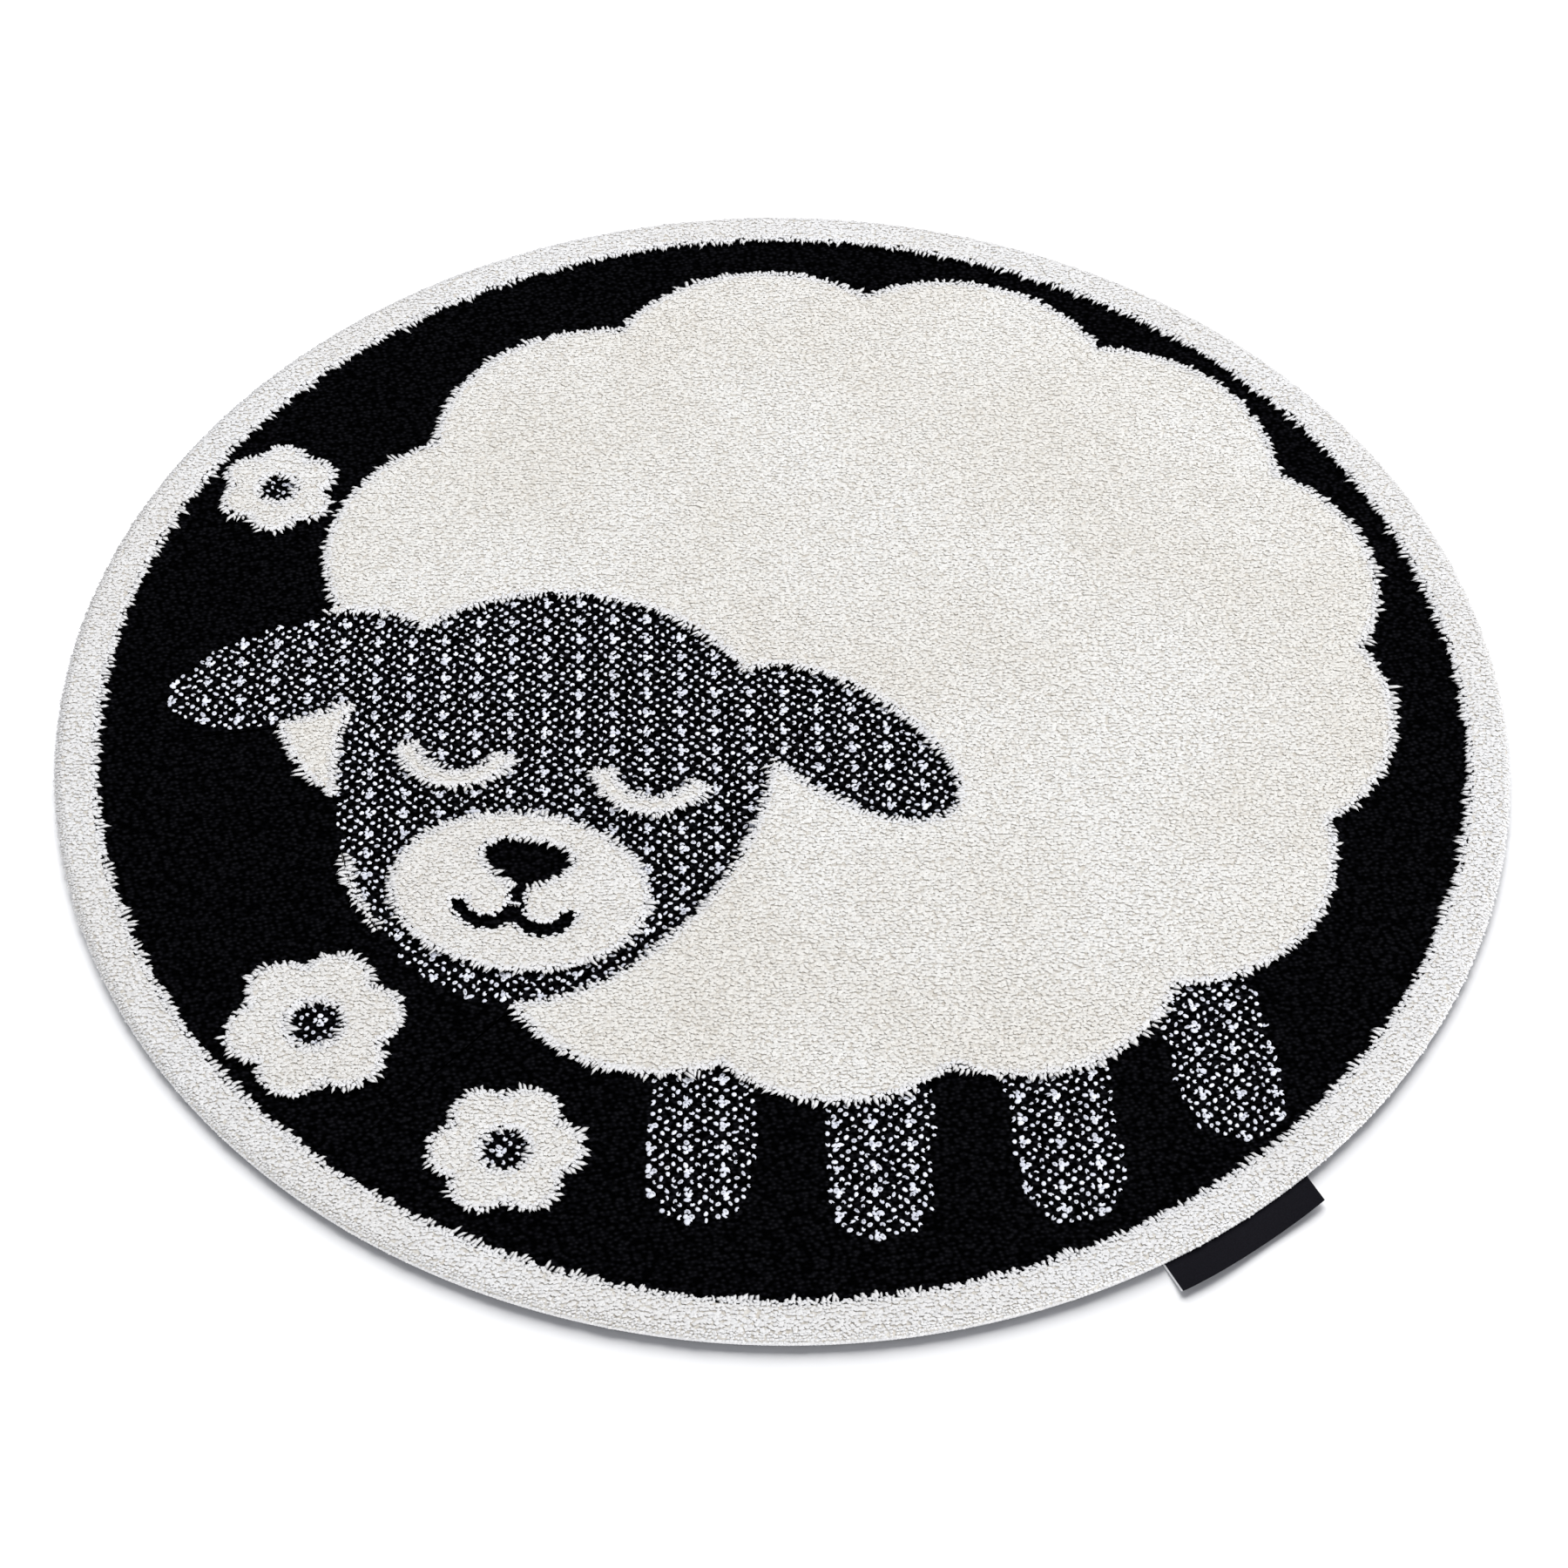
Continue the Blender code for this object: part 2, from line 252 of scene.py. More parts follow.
# painted shade: the pile's body, seen between the tufts, darker than the cream
BODY_SHADE_DARK = (0.56, 0.52, 0.46)
BODY_SHADE_PALE = (0.71, 0.69, 0.65)
LOOP_DULL = (0.64, 0.66, 0.74)
LOOP_BRIGHT = (0.86, 0.88, 0.94)
LOOP_MIDDLE = (0.06, 0.06, 0.08)  # where the black shows
# painted light and shade on the black loops: lit crowns, shaded sides and gaps
BLACK_CROWN_LIT = (0.0088, 0.0087, 0.0106)
BLACK_SIDE_SHADE = (0.0026, 0.0026, 0.0034)
BLACK_GAP_SHADE = (0.0, 0.0, 0.0001)
BACKING_DARK = (0.48, 0.41, 0.30)
BACKING_PALE = (0.66, 0.59, 0.46)
BINDING_DULL = (0.68, 0.68, 0.69)
BINDING_BRIGHT = (0.80, 0.80, 0.80)
SATIN_DARK = (0.0035, 0.0033, 0.0055)
SATIN_PALE = (0.0070, 0.0066, 0.0100)
REVERSE_DULL = (0.6, 0.6, 0.62)
REVERSE_BRIGHT = (0.75, 0.75, 0.76)

# The floor and the lights. A way is the direction from the rug to the light.
FLOOR_COLOUR = (0.93, 0.93, 0.935, 1.0)
FLOOR_HALF = 80.0
FLOOR_BELOW = 0.2 * MM
ROOM_COLOUR = (0.91, 0.93, 1.0, 1.0)
ROOM_STRENGTH = 0.27
KEY_WAY = (0.42, 0.34, 0.84)
KEY_DISTANCE = 10.0
KEY_WIDTH = 9.3
KEY_STRENGTH = 3.5
FILL_WAY = (0.05, -0.97, 0.22)
FILL_ANGLE = radians(50)
FILL_STRENGTH = 2.75
LOW_WAYS = ((-0.15, 0.92, 0.37), (0.15, 0.92, 0.37))
LOW_ANGLE = radians(70)
LOW_STRENGTH = 4.5

# The camera, worked out from the round edge in the photograph
LENS = 82.0
SENSOR = 36.0
AZIMUTH = radians(-2.28)
ELEVATION = radians(51.285)
ROLL = radians(0.852)
AIM = Vector((-1.38 * MM, -74.4 * MM, 0.0))
DISTANCE = 2.928
CLIP_START = 0.05
CLIP_END = 50.0


# ---- outlines -------------------------------------------------------------------------------


def arc_points(x, y, radius, start, end, count):
    """count + 1 points along an arc, both ends included."""
    angles = np.linspace(start, end, count + 1)
    return np.stack([x + radius * np.cos(angles), y + radius * np.sin(angles)], -1)


def outer_meeting(one, other):
    """The outer point where a lobe meets the next one of an anticlockwise ring."""
    (x0, y0, r0), (x1, y1, r1) = one, other
    dx, dy = x1 - x0, y1 - y0
    apart = hypot(dx, dy)
    along = (r0 * r0 - r1 * r1 + apart * apart) / (2 * apart)
    aside = (r0 * r0 - along * along) ** 0.5
    return x0 + (along * dx + aside * dy) / apart, y0 + (along * dy - aside * dx) / apart


def lobed_outline(lobes, step=6 * MM):
    """The outline of a ring of overlapping round lobes, each (x, y, radius)."""
    arcs = []
    for k, (x, y, radius) in enumerate(lobes):
        first = outer_meeting(lobes[k - 1], lobes[k])
        last = outer_meeting(lobes[k], lobes[(k + 1) % len(lobes)])
        start = atan2(first[1] - y, first[0] - x)
        end = atan2(last[1] - y, last[0] - x)
        if end <= start:
            end += 2 * pi
        count = max(3, round((end - start) * radius / step))
        arcs.append(arc_points(x, y, radius, start, end, count)[:-1])
    return np.concatenate(arcs)


def egg_outline(middle, size, turn=0.0, taper=0.0, count=72):
    """An ellipse that is wider at its top by the taper."""
    a = np.linspace(0, 2 * pi, count, endpoint=False)
    u = size[0] * np.cos(a) * (1 + taper * np.sin(a))
    v = size[1] * np.sin(a)
    c, s = cos(turn), sin(turn)
    return np.stack([middle[0] + u * c - v * s, middle[1] + u * s + v * c], -1)


def band_outline(middle, radius, width, start, end, count=20):
    """A stretch of a flat ring."""
    outer = arc_points(*middle, radius + width / 2, start, end, count)
    inner = arc_points(*middle, radius - width / 2, end, start, count)
    return np.concatenate([outer, inner])


def bar_outline(x0, y0, x1, y1, width, count=14):
    """A straight bar with round ends."""
    a = atan2(y1 - y0, x1 - x0)
    far = arc_points(x1, y1, width / 2, a - pi / 2, a + pi / 2, count)
    near = arc_points(x0, y0, width / 2, a + pi / 2, a + 3 * pi / 2, count)
    return np.concatenate([far, near])


def on_head(u, v):
    """A place in the head's own axes, in the rug's."""
    c, s = cos(HEAD_TURN), sin(HEAD_TURN)
    return HEAD_MIDDLE[0] + u * c - v * s, HEAD_MIDDLE[1] + u * s + v * c


def fleece_outline():
    """The fleece's outline, a ring of round lobes."""
    x, y = FLEECE_MIDDLE
    ring = [
        (x + reach * cos(radians(angle)), y + reach * sin(radians(angle)), radius)
        for angle, reach, radius in FLEECE_LOBES
    ]
    return lobed_outline(ring)


def petals_outline(x, y, radius, turn):
    """A flower's outline, a ring of round petals."""
    angles = [radians(turn) + 2 * pi * k / PETALS for k in range(PETALS)]
    reach = PETAL_REACH * radius
    ring = [(x + reach * cos(a), y + reach * sin(a), PETAL_RADIUS * radius) for a in angles]
    return lobed_outline(ring, 3 * MM)


def mouth_outlines():
    """Two smiles and the upright line from where they meet to the nose."""
    start, end = (HEAD_TURN + angle for angle in MOUTH_ARC)
    middles = [on_head(side * MOUTH_PLACE[0], MOUTH_PLACE[1]) for side in (-1, 1)]
    smiles = [band_outline(middle, MOUTH_RADIUS, MOUTH_LINE, start, end) for middle in middles]
    half, low, high = MOUTH_LINE / 2, MOUTH_PLACE[1], NOSE_PLACE[1]
    corners = ((-half, low), (half, low), (half, high), (-half, high))
    return [*smiles, np.array([on_head(u, v) for u, v in corners])]


def eye_outline(side):
    """A closed eyelid, a thin arc that sags."""
    start, end = (HEAD_TURN + angle for angle in EYE_ARC)
    middle = on_head(side * EYE_PLACE[0], EYE_PLACE[1])
    return band_outline(middle, EYE_RADIUS, EYE_LINE, start, end)


FLEECE = fleece_outline()
HEAD = egg_outline(HEAD_MIDDLE, HEAD_SIZE, HEAD_TURN, HEAD_TAPER, 96)
EARS = [
    egg_outline(on_head(side * EAR_PLACE[0], EAR_PLACE[1]), EAR_SIZE, HEAD_TURN - side * EAR_DROOP)
    for side in (-1, 1)
]
MUZZLE = egg_outline(on_head(*MUZZLE_PLACE), MUZZLE_SIZE, HEAD_TURN)
NOSE = egg_outline(on_head(*NOSE_PLACE), NOSE_SIZE, HEAD_TURN, NOSE_TAPER)
MOUTH = mouth_outlines()
EYES = [eye_outline(side) for side in (-1, 1)]
PETAL_RINGS = [petals_outline(*flower) for flower in FLOWERS]
HEARTS = [egg_outline((x, y), (FLOWER_HEART * r, FLOWER_HEART * r)) for x, y, r, _ in FLOWERS]
LEG_BARS = [bar_outline(*leg, LEG_WIDTH) for leg in LEGS]


def depth_in(points, outline):
    """How far each point is inside a closed outline, and below zero how far outside."""
    batch = 4000  # points at a time, to spare memory
    a = outline
    ab = np.roll(a, -1, 0) - a
    found = np.empty(len(points))
    for at in range(0, len(points), batch):
        p = points[at : at + batch, None]
        ap = p - a[None]
        share = np.clip((ap * ab).sum(-1) / (ab * ab).sum(-1), 0, 1)
        gap = np.hypot(*np.moveaxis(ap - share[..., None] * ab, -1, 0)).min(1)
        crosses = (a[None, :, 1] > p[..., 1]) != (a[None, :, 1] + ab[None, :, 1] > p[..., 1])
        with np.errstate(divide="ignore", invalid="ignore"):
            at_x = a[:, 0] + (p[..., 1] - a[:, 1]) * ab[:, 0] / ab[:, 1]
        inside = (crosses & (p[..., 0] < at_x)).sum(1) % 2 == 1
        found[at : at + batch] = np.where(inside, gap, -gap)
    return found


def without(depth, *others):
    """The depth in a zone that the other ones are cut out of."""
    return np.minimum.reduce([depth, *[-other for other in others]])


def fleece_depth(points):
    """The depth in the fleece, which the head and the ears are cut out of."""
    cuts = [depth_in(points, outline) for outline in (HEAD, *EARS)]
    return without(depth_in(points, FLEECE), *cuts)


def border_depth(points):
    """The depth in the border ring, from its inner edge."""
    return np.hypot(*points.T) - (RUG_RADIUS - BORDER_WIDTH)


def motif_depth(points):
    """The small cut pile zones: muzzle, eyes and flowers."""
    marks = [depth_in(points, outline) for outline in (NOSE, *MOUTH)]
    depths = [without(depth_in(points, MUZZLE), *marks)]
    depths += [depth_in(points, eye) for eye in EYES]
    for petals, heart in zip(PETAL_RINGS, HEARTS, strict=True):
        depths.append(without(depth_in(points, petals), depth_in(points, heart)))
    return np.maximum.reduce(depths)


def pile_depth(points):
    """All the cut pile zones together."""
    return np.maximum.reduce([border_depth(points), fleece_depth(points), motif_depth(points)])


def speckle_depth(points):
    """The low zones with white loops: head, ears, legs and the flowers' hearts."""
    fleece = depth_in(points, FLEECE)
    face = [depth_in(points, outline) for outline in (MUZZLE, *EYES)]
    depths = [without(depth_in(points, HEAD), *face)]
    depths += [depth_in(points, outline) for outline in (*EARS, *HEARTS)]
    depths += [without(depth_in(points, leg), fleece) for leg in LEG_BARS]
    return np.maximum.reduce(depths)


# ---- objects and meshes ---------------------------------------------------------------------


def add(name, data):
    """A new object with this data, in the scene."""
    made = bpy.data.objects.new(name, data)
    bpy.context.scene.collection.objects.link(made)
    return made


def mesh_object(name, verts, faces, smooth=True):
    """An object from an array of points and one of triangles or quads."""
    mesh = bpy.data.meshes.new(name)
    sides = faces.shape[1]
    mesh.vertices.add(len(verts))
    mesh.vertices.foreach_set("co", np.ascontiguousarray(verts, np.float32).ravel())
    mesh.loops.add(faces.size)
    mesh.loops.foreach_set("vertex_index", np.ascontiguousarray(faces, np.int32).ravel())
    mesh.polygons.add(len(faces))
    mesh.polygons.foreach_set("loop_start", np.arange(len(faces), dtype=np.int32) * sides)
    mesh.polygons.foreach_set("use_smooth", np.full(len(faces), smooth))
    mesh.update(calc_edges=True)
    mesh.validate()
    return add(name, mesh)


def tell(piece, name, values):
    """A number for each point of the piece, which its material reads."""
    attribute = piece.data.attributes.new(name, "FLOAT", "POINT")
    attribute.data.foreach_set("value", np.ascontiguousarray(values, np.float32))


def spindle_faces(sides, count):
    """Triangles of spindles: points 0 to sides - 1 are the ring, then the foot, then the tip."""
    ring = np.arange(sides)
    after = (ring + 1) % sides
    foot = np.full(sides, sides)
    tip = foot + 1
    one = np.concatenate([np.stack([ring, after, tip], -1), np.stack([after, ring, foot], -1)])
    return (one[None] + (sides + 2) * np.arange(count)[:, None, None]).reshape(-1, 3)


def capsule_faces(sides, count):
    """Triangles of capped tubes: a lower ring, an upper ring, then the foot and the tip."""
    ring = np.arange(sides)
    after = (ring + 1) % sides
    foot = np.full(sides, 2 * sides)
    tip = foot + 1
    corners = (
        (after, ring, foot),
        (ring, after, after + sides),
        (ring, after + sides, ring + sides),
        (ring + sides, after + sides, tip),
    )
    one = np.concatenate([np.stack(three, -1) for three in corners])
    return (one[None] + (2 * sides + 2) * np.arange(count)[:, None, None]).reshape(-1, 3)


# ---- cut pile -------------------------------------------------------------------------------


def edge_share(points):
    """0 in the rug's field, rising to 1 where the pile ends."""
    return np.clip((np.hypot(*points.T) - PILE_ENDS + EDGE_ROUNDING) / EDGE_ROUNDING, 0, 1)


def pile_height(edge):
    """The height of the pile's top, rounded down at the rug's edge."""
    return PILE_TOP - EDGE_DROP * (1 - np.sqrt(1 - edge**2))


def tuft_places(rng):
    """Tuft roots in staggered rows over the whole rug, and in rings at its edge."""
    deep = int(RUG_RADIUS / ROW_PITCH) + 1
    wide = int(RUG_RADIUS / TUFT_PITCH) + 1
    rows, columns = np.meshgrid(np.arange(-deep, deep + 1), np.arange(-wide, wide + 1), indexing="ij")
    x = (columns + 0.5 * (rows % 2)) * TUFT_PITCH
    y = rows * ROW_PITCH
    points = np.stack([x.ravel(), y.ravel()], -1)
    points += rng.uniform(-TUFT_STRAY, TUFT_STRAY, points.shape) * np.array([TUFT_PITCH, ROW_PITCH])
    found = [points[np.hypot(*points.T) < PILE_ENDS - RING_INSETS[-1] - TUFT_PITCH / 2]]
    along, aside = RING_STRAYS
    for inset in RING_INSETS:
        count = round(2 * pi * (PILE_ENDS - inset) / RING_PITCH)
        turn = (np.arange(count) + rng.uniform(-along, along, count)) * 2 * pi / count
        radius = PILE_ENDS - inset + rng.uniform(-aside, aside, count) * MM
        found.append(np.stack([radius * np.cos(turn), radius * np.sin(turn)], -1))
    return np.concatenate(found)


def ragged(points):
    """How far a zone's edge is worn in or out here, so that none is a clean line."""
    x, y = points.T / MM  # two waves of some centimetres, each bent by another
    waves = np.sin(x / 4.1 + 2 * np.sin(y / 7.3)) + np.sin(y / 3.7 + 2 * np.sin(x / 6.1))
    return waves * WORN * MM


def outward(points, depth_of, depth):
    """The direction in which the depth falls fastest."""
    step = 0.4 * MM
    gx = depth_of(points + [step, 0]) - depth
    gy = depth_of(points + [0, step]) - depth
    way = -np.stack([gx, gy], -1)
    return way / np.maximum(np.hypot(*way.T), 1e-9)[:, None]


def tufts(name, points, depth, depth_of, whiteness, rng):
    """One joined mesh of tufts, each widening from its root in the cloth to a low crown."""
    count = len(points)
    way = outward(points, depth_of, depth)
    near = np.clip(1 - depth / LEAN_DEPTH, 0, 1)  # 1 at the edge of the zone
    edge = edge_share(points)
    radial = points / np.hypot(*points.T)[:, None]

    lean = rng.normal(0, TUFT_LEAN, (count, 2))
    lean += way * (near * rng.uniform(*LEAN_OUT, count) * MM)[:, None] * LEAN_SHARES
    top = pile_height(edge) + rng.normal(*TUFT_RISE, count)
    top -= near**2 * rng.uniform(0, ZONE_SINK, count) * MM
    crown = rng.uniform(*TUFT_CROWN, count) * MM
    foot_height = np.clip(top - TUFT_LENGTH, LOWEST, ROOT_HEIGHT)

    rim_size = 1 - RIM_SHRINK * (edge > RIM_SHARE)
    radius = TUFT_RADIUS * rng.uniform(*TUFT_SIZES, count) * rim_size
    angles = rng.uniform(0, 2 * pi, count)[:, None] + 2 * pi * np.arange(TUFT_SIDES) / TUFT_SIDES
    reach = radius[:, None] * rng.uniform(*TUFT_CORNERS, (count, TUFT_SIDES))
    wide, deep = TUFT_SHAPE
    across = np.stack([wide * reach * np.cos(angles), deep * reach * np.sin(angles)], -1)
    falls = TILT_OUT * way * near[:, None] + RIM_TILT * radial * edge[:, None] ** 2
    tilt = rng.normal(0, TUFT_TILT, (count, 2)) - falls
    ring = np.empty((count, TUFT_SIDES, 3))
    ring[..., :2] = (points + lean)[:, None] + across
    ring[..., 2] = np.maximum((top - crown)[:, None] + (across * tilt[:, None]).sum(-1), LOWEST)
    foot = np.column_stack([points - radial * (edge * RIM_SLANT)[:, None], foot_height])
    tip_stray = rng.uniform(-TIP_STRAY, TIP_STRAY, (count, 2)) * MM
    tip = np.column_stack([points + lean + tip_stray, top])
    verts = np.concatenate([ring, foot[:, None], tip[:, None]], 1)

    piece = mesh_object(name, verts.reshape(-1, 3), spindle_faces(TUFT_SIDES, count), smooth=False)
    each = TUFT_SIDES + 2
    tell(piece, "tone", np.repeat(rng.uniform(0, 1, count), each))
    # height: 1 at the tip, 0 at the foot, towards which the material paints shade
    tell(piece, "height", np.tile(np.r_[np.full(TUFT_SIDES, 0.95), 0.0, 1.0], count))
    # painted side light: tufts near their zone's edge are mixed towards bluish white, each at least by
    # the zone's whiteness
    tell(piece, "rim", np.repeat(np.maximum(near * (1 - edge), whiteness), each))
    return piece


def along_outline(outline, pitch, rng):
    """Points about one pitch apart along a closed outline, and the way out of it at each."""
    closed = np.concatenate([outline, outline[:1]])
    steps = np.hypot(*np.diff(closed, axis=0).T)
    reached = np.r_[0, np.cumsum(steps)]
    count = max(3, round(reached[-1] / pitch))
    at = (np.arange(count) + rng.uniform(-0.3, 0.3, count) + 0.5) * reached[-1] / count
    x, y = np.interp(at, reached, closed[:, 0]), np.interp(at, reached, closed[:, 1])
    k = np.clip(np.searchsorted(reached, at) - 1, 0, len(steps) - 1)
    run = (closed[k + 1] - closed[k]) / steps[k, None]
    return np.stack([x, y], -1), np.stack([run[:, 1], -run[:, 0]], -1)


def running_mean(values, span):
    """The means of each so many neighbours."""
    return np.convolve(values, np.full(span, 1 / span), "valid")


def lock_places(rng):
    """Roots, ways out, lengths and insets of the locks: the longer tufts that lean out of the zones."""
    border = arc_points(0, 0, RUG_RADIUS - BORDER_WIDTH, 0, 2 * pi, 400)[:-1]
    rings = [(border, -1, border_depth), (FLEECE, 1, fleece_depth)]
    rings += [(outline, -1, fleece_depth) for outline in (HEAD, *EARS)]
    rings += [(outline, 1, motif_depth) for outline in (MUZZLE, *EYES, *PETAL_RINGS)]
    rings += [(outline, -1, motif_depth) for outline in (NOSE, *HEARTS)]
    found = []
    for outline, side, depth_of in rings:
        for inset in LOCK_INSETS:
            places, way = along_outline(outline, LOCK_PITCH, rng)
            way = way * side
            worn = ragged(places) + rng.uniform(-LOCK_STRAY, LOCK_STRAY, len(places)) * MM
            roots = places - way * (inset + worn)[:, None]
            kept = (depth_of(roots) > 0) & (rng.uniform(0, 1, len(roots)) > LOCKS_MISSING)
            clumps = running_mean(rng.uniform(*CLUMP_LENGTHS, len(roots) + CLUMP - 1), CLUMP)
            length = clumps * rng.uniform(*LOCK_LENGTHS, len(roots))
            found.append(np.column_stack([roots, way, length, np.full(len(roots), inset)])[kept])
    return np.concatenate(found)


def locks(name, rng):
    """One joined mesh of locks: each rises from its root, bends over the edge and ends in a tip."""
    placed = lock_places(rng)
    count = len(placed)
    root, way, length, inset = np.split(placed, (2, 4, 5), axis=1)
    inner = inset / LOCK_INSETS[-1]
    way = way * LOCK_SHARES + rng.normal(0, LOCK_TURN, (count, 2))
    way /= np.hypot(*way.T)[:, None]
    sideways = np.abs(way[:, :1])
    aside = np.stack([-way[:, 1], way[:, 0]], -1)
    away = np.clip(way[:, 1:], 0, 1)  # locks on the far side stand up, those on the near side hang
    reach = length * (LOCK_REACH + REACH_SIDEWAYS * sideways + REACH_AWAY * away) * MM
    width = rng.uniform(*LOCK_WIDTHS, (count, 1)) * LOCK_HALF_WIDTH
    top = PILE_TOP + (rng.uniform(*LOCK_TOPS, (count, 1)) + 0.5 * inner) * MM
    drop = rng.uniform(*LOCK_DROPS, (count, 1)) * (1 - 0.7 * away) * (1 - 0.8 * inner) * MM

    def section(share, height, half_width, half_height):
        """A ring of points about the lock, at this share of its reach."""
        middle = np.column_stack([root + way * reach * share, height])
        turn = 2 * pi * np.arange(LOCK_SIDES) / LOCK_SIDES + rng.uniform(0, 0.6, (count, 1))
        level = np.column_stack([aside, np.zeros(count)])[:, None]
        flat = (half_width * np.cos(turn))[..., None] * level
        upright = (half_height * np.sin(turn))[..., None] * np.array([0, 0, 1.0])
        return middle[:, None] + flat + upright

    low = section(0.12, top - LOCK_HALF_HEIGHT, 0.85 * width, LOCK_HALF_HEIGHT)
    narrowed = width * rng.uniform(0.7, 1.0, (count, 1))
    high = section(0.62 + 0.1 * away, top - 0.9 * MM - 0.3 * drop, narrowed, 0.85 * MM)
    foot = np.column_stack([root - way * 0.6 * MM, np.full(count, ROOT_HEIGHT)])
    ends = root + way * reach + aside * rng.normal(0, 0.6 * MM, (count, 1))
    tip = np.column_stack([ends, top - 1.2 * MM - drop])
    verts = np.concatenate([low, high, foot[:, None], tip[:, None]], 1)

    each = 2 * LOCK_SIDES + 2
    piece = mesh_object(name, verts.reshape(-1, 3), capsule_faces(LOCK_SIDES, count))
    tell(piece, "tone", np.repeat(rng.uniform(0, 1, count), each))
    # height: 1 at the tip, 0 at the foot, towards which the material paints shade
    tell(piece, "height", np.tile(np.r_[np.full(2 * LOCK_SIDES, 0.9), 0.0, 1.0], count))
    # painted side light: every lock is mixed this far towards bluish white
    tell(piece, "rim", np.full(each * count, LOCK_EDGE_LIGHT))
    return piece


def cut_pile(rng):
    """The tufts of every cream zone, in pieces of a limited size."""
    places = tuft_places(rng)
    most = MOST_TRIANGLES // (2 * TUFT_SIDES)
    pieces = []
    zones = (("border", border_depth, 0.5), ("fleece", fleece_depth, 0.0), ("motif", motif_depth, 0.2))
    for name, depth_of, whiteness in zones:
        depth = depth_of(places)
        inside = depth > TUFT_MARGIN + ragged(places)
        inside &= rng.uniform(0, 1, len(places)) > TUFTS_MISSING
        chosen, how_deep = places[inside], depth[inside]
        parts = int(np.ceil(len(chosen) / most))
        for k, members in enumerate(np.array_split(np.arange(len(chosen)), parts)):
            title = f"pile_{name}" if parts == 1 else f"pile_{name}_{k + 1}"
            pieces.append(tufts(title, chosen[members], how_deep[members], depth_of, whiteness, rng))
    pieces.append(locks("pile_edge_locks", rng))
    return pieces


# ---- speckled low loops ---------------------------------------------------------------------


def speckle_loops(rng):
    """White yarn loops on the black ground, small flattened domes, some notched or dimpled."""
    wide = int(RUG_RADIUS / REPEAT[0]) + 1
    deep = int(RUG_RADIUS / REPEAT[1]) + 1
    columns, rows = np.meshgrid(np.arange(-wide, wide + 1), np.arange(-deep, deep + 1))
    cells = np.stack([columns.ravel() * REPEAT[0], rows.ravel() * REPEAT[1]], -1)
    chart = np.array(REPEAT_LOOPS)
    points = (cells[:, None] + chart[None, :, :2] * MM).reshape(-1, 2)
    size = np.tile(chart[:, 2], len(cells))
    points += rng.normal(0, LOOP_STRAY, points.shape)
    kept = speckle_depth(points) > SPECKLE_MARGIN
    points, size = points[kept], size[kept]
    count = len(points)

    angles = rng.uniform(0, 2 * pi, count)[:, None] + 2 * pi * np.arange(LOOP_SIDES) / LOOP_SIDES
    stretch = rng.uniform(*LOOP_STRETCH, count)[:, None]
    turn = rng.uniform(0, pi, count)[:, None]
    wobble = rng.uniform(*LOOP_WOBBLE, (count, LOOP_SIDES))
    outer = (LOOP_RADIUS * size)[:, None] * (wobble + np.roll(wobble, 1, 1)) / 2
    outer[rng.uniform(0, 1, count) < NOTCHED_LOOPS, 0] *= NOTCH
    rise = LOOP_RISE * rng.uniform(*LOOP_RISES, count)

    def ring(share, height):
        """The loop's outline at a height, drawn in to this share of its size."""
        u = share * outer * np.cos(angles) * stretch
        v = share * outer * np.sin(angles) / stretch
        c, s = np.cos(turn), np.sin(turn)
        z = np.broadcast_to(height[:, None], u.shape)
        return np.stack([points[:, :1] + u * c - v * s, points[:, 1:] + u * s + v * c, z], -1)

    low = ring(1.0, LOOP_FOOT + 0.8 * rise)
    high = ring(0.7, LOOP_FOOT + 1.25 * rise)
    pitted = rng.uniform(0, 1, count) < OPEN_LOOPS
    foot = np.column_stack([points, np.full(count, LOOP_FOOT)])
    aside = rng.normal(0, 0.4 * MM, (count, 2)) * pitted[:, None]
    tip = np.column_stack([points + aside, LOOP_FOOT + (1.3 - 0.5 * pitted) * rise])
    verts = np.concatenate([low, high, foot[:, None], tip[:, None]], 1)

    each = 2 * LOOP_SIDES + 2
    piece = mesh_object("speckle_loops", verts.reshape(-1, 3), capsule_faces(LOOP_SIDES, count))
    tell(piece, "tone", np.repeat(rng.uniform(0, 1, count), each))
    pit = np.zeros((count, each))
    pit[:, -1] = pitted * rng.uniform(0.4, 1.0, count)
    tell(piece, "pit", pit.ravel())
    return piece


# ---- cloth, binding and label ---------------------------------------------------------------


def on_rim(x, y):
    """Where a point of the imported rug's rounded rim goes: out to the pile's end, and lower."""
    r = hypot(x, y)
    grows = EDGE_ROUNDING / PACKED_ROUNDING
    grown = PILE_ENDS - EDGE_ROUNDING + (r - RIM_FROM) * grows - ROOTS_BELOW
    edge = edge_share(np.array([[grown, 0.0]]))[0]
    height = max(pile_height(edge) - ROOTS_BELOW, BINDING_HEIGHT)
    return x * grown / r, y * grown / r, height


def stand_back(walls):
    """Moves the body's walls in from the edge of their zone, to its middle where it is thin."""
    places = np.array([vert.co.xy for vert in walls])
    ways = np.array([vert.normal.xy.normalized() for vert in walls])
    left = pile_depth(places - ways * ROOTS_INSET)
    insets = np.minimum(ROOTS_INSET, (ROOTS_INSET + left) / 2)
    for vert, way, inset in zip(walls, ways, insets, strict=True):
        vert.co.xy -= Vector(way * inset)


def make_body(shape):
    """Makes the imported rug's raised zones the body of the pile, which shows between the tufts."""
    walls = []
    for vert in [vert for vert in shape.verts if vert.co.z > GROUND_TOP - SLACK]:
        x, y, z = vert.co
        if hypot(x, y) > RIM_FROM:
            vert.co = on_rim(x, y)
            continue
        if vert.normal.xy.length > WALL_SLANT:
            walls.append(vert)
        if z > GROUND_TOP + SLACK:
            vert.co.z = PILE_TOP - ROOTS_BELOW
    stand_back(walls)


